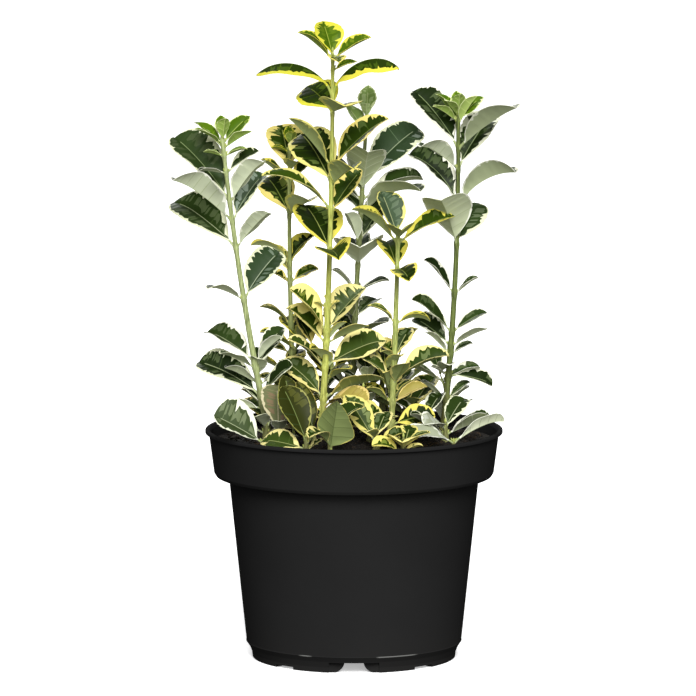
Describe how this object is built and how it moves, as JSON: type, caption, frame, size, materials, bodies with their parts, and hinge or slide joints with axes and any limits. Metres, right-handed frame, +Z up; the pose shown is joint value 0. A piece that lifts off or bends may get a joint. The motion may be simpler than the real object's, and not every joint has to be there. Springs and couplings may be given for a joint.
{
  "type": "potted emerald gaiety wintercreeper",
  "caption": "Evergreen shrub with upright shoots of variegated leaves in opposite pairs and low tufts of leaves, in a round black nursery pot filled with compost.",
  "frame": {"origin": "on the flat pad under the middle of the pot, which is level with the pot's foot ring", "axes": "+Z up, -Y towards the pictured front, +X to the right as seen from the front"},
  "size_m": [0.2226, 0.1909, 0.4091],
  "materials": {
    "pot": "black moulded plastic with a soft sheen",
    "compost": "dark moist potting compost with bits of bark",
    "stem": "smooth yellowish green young bark",
    "white_edged_leaves": "leathery dark green leaves with cream white edges",
    "yellow_edged_leaves": "leathery dark green leaves with broad yellow edges"
  },
  "bodies": {
    "root": {"pot": "pot", "compost": "compost", "left_stem_1": "stem", "left_stem_2": "stem", "left_stem_3": "stem", "left_leaves_low": "white_edged_leaves", "left_leaves_middle": "white_edged_leaves", "left_leaves_top": "white_edged_leaves", "second_stem_1": "stem", "second_stem_2": "stem", "second_stem_3": "stem", "second_leaves_low": "yellow_edged_leaves", "second_leaves_middle": "yellow_edged_leaves", "second_leaves_top": "yellow_edged_leaves", "centre_stem_1": "stem", "centre_stem_2": "stem", "centre_leaves_low": "yellow_edged_leaves", "centre_leaves_middle": "yellow_edged_leaves", "centre_leaves_upper": "yellow_edged_leaves", "centre_leaves_top": "yellow_edged_leaves", "back_stem_1": "stem", "back_stem_2": "stem", "back_stem_3": "stem", "back_leaves_low": "white_edged_leaves", "back_leaves_middle": "white_edged_leaves", "back_leaves_top": "white_edged_leaves", "front_stem_1": "stem", "front_stem_2": "stem", "front_leaves_low": "yellow_edged_leaves", "front_leaves_middle": "yellow_edged_leaves", "front_leaves_top": "yellow_edged_leaves", "right_stem_1": "stem", "right_stem_2": "stem", "right_stem_3": "stem", "right_leaves_low": "white_edged_leaves", "right_leaves_middle": "white_edged_leaves", "right_leaves_top": "white_edged_leaves", "tuft_back_left": "white_edged_leaves", "tuft_back_right": "yellow_edged_leaves", "tuft_front": "yellow_edged_leaves", "tuft_front_left": "yellow_edged_leaves", "tuft_front_middle": "yellow_edged_leaves", "tuft_front_right": "yellow_edged_leaves", "tuft_inner": "white_edged_leaves", "tuft_left": "white_edged_leaves", "tuft_middle": "yellow_edged_leaves", "tuft_middle_right": "yellow_edged_leaves", "tuft_right": "white_edged_leaves"}
  },
  "joints": []
}
